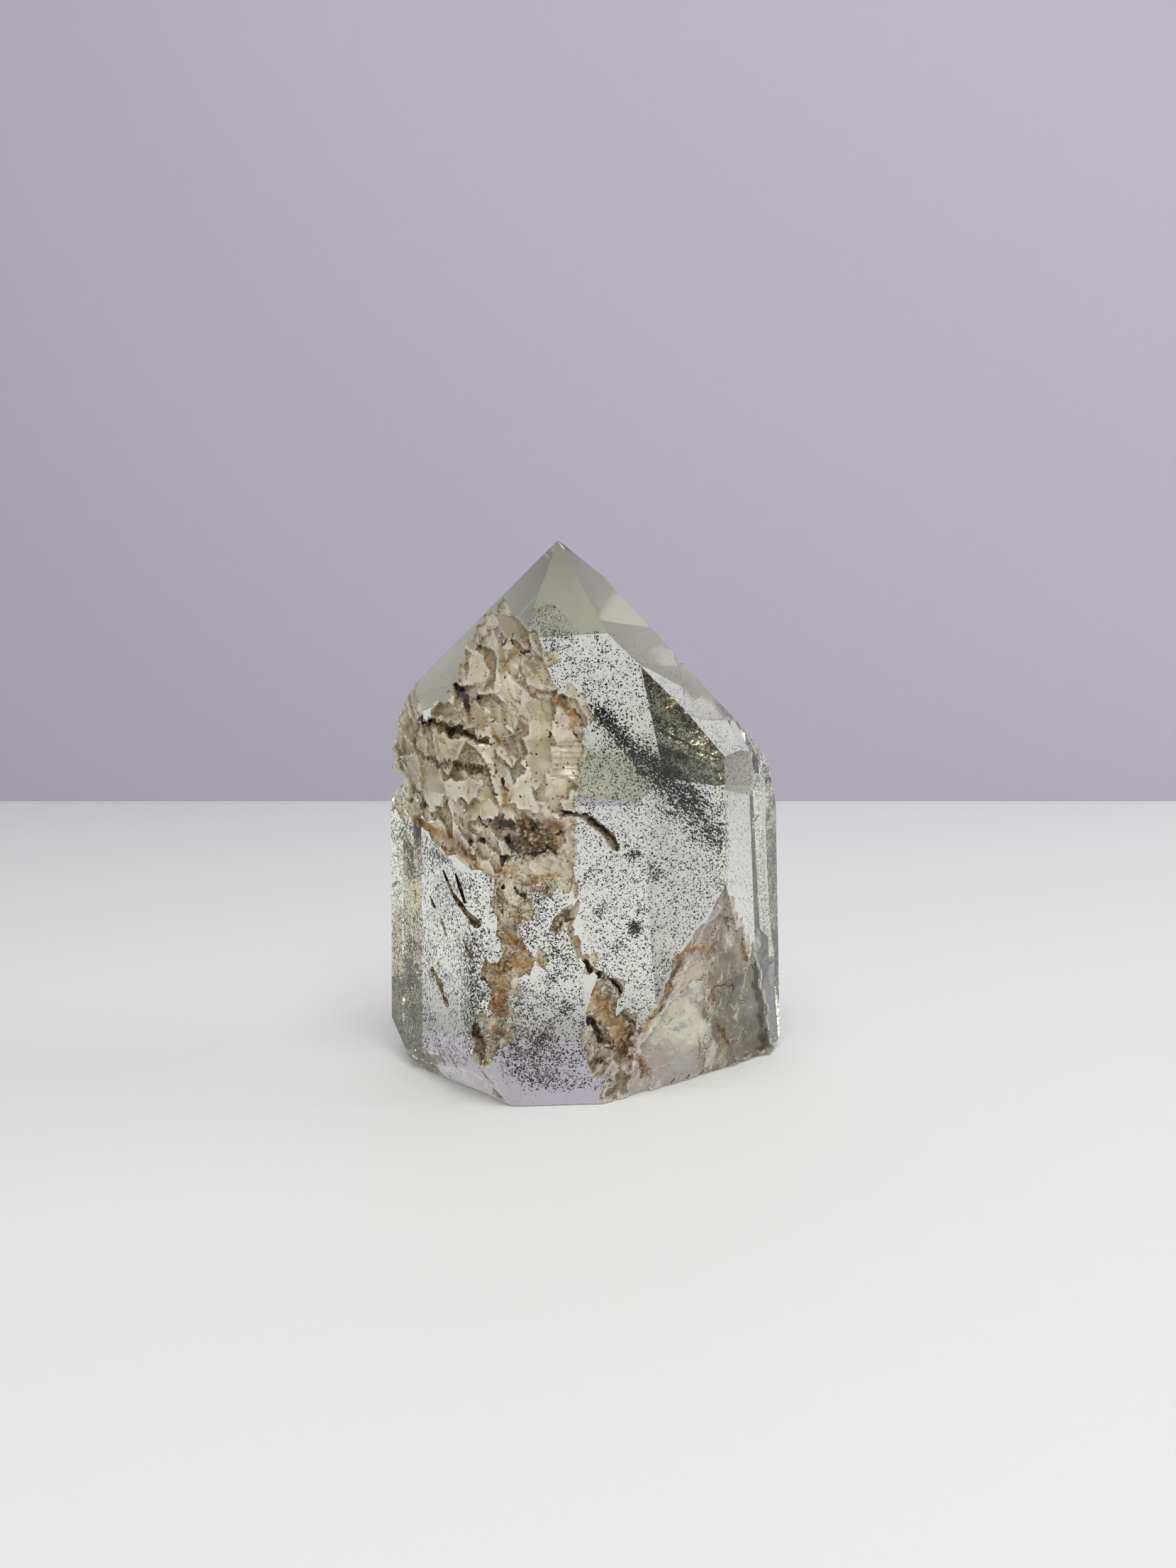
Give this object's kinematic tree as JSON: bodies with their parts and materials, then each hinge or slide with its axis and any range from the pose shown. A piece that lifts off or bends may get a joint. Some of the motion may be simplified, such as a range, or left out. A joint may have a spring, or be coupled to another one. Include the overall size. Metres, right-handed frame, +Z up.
{
  "type": "quartz tower",
  "caption": "Polished quartz crystal tower with a pointed top, flat facets, rough natural patches and dark mineral flakes inside; it stands on a flat base.",
  "frame": {"origin": "centre of the bounding box at the level of the flat base", "axes": "+Z up from the base to the point, -Y out of the widest polished face at the front, +X to the right seen from the front"},
  "size_m": [0.0598, 0.0442, 0.0766],
  "materials": {
    "quartz": "clear polished quartz with rough natural breaks, ochre and brown iron stain, and dark green flakes inside"
  },
  "bodies": {
    "root": {"quartz_tower": "quartz"}
  },
  "joints": []
}
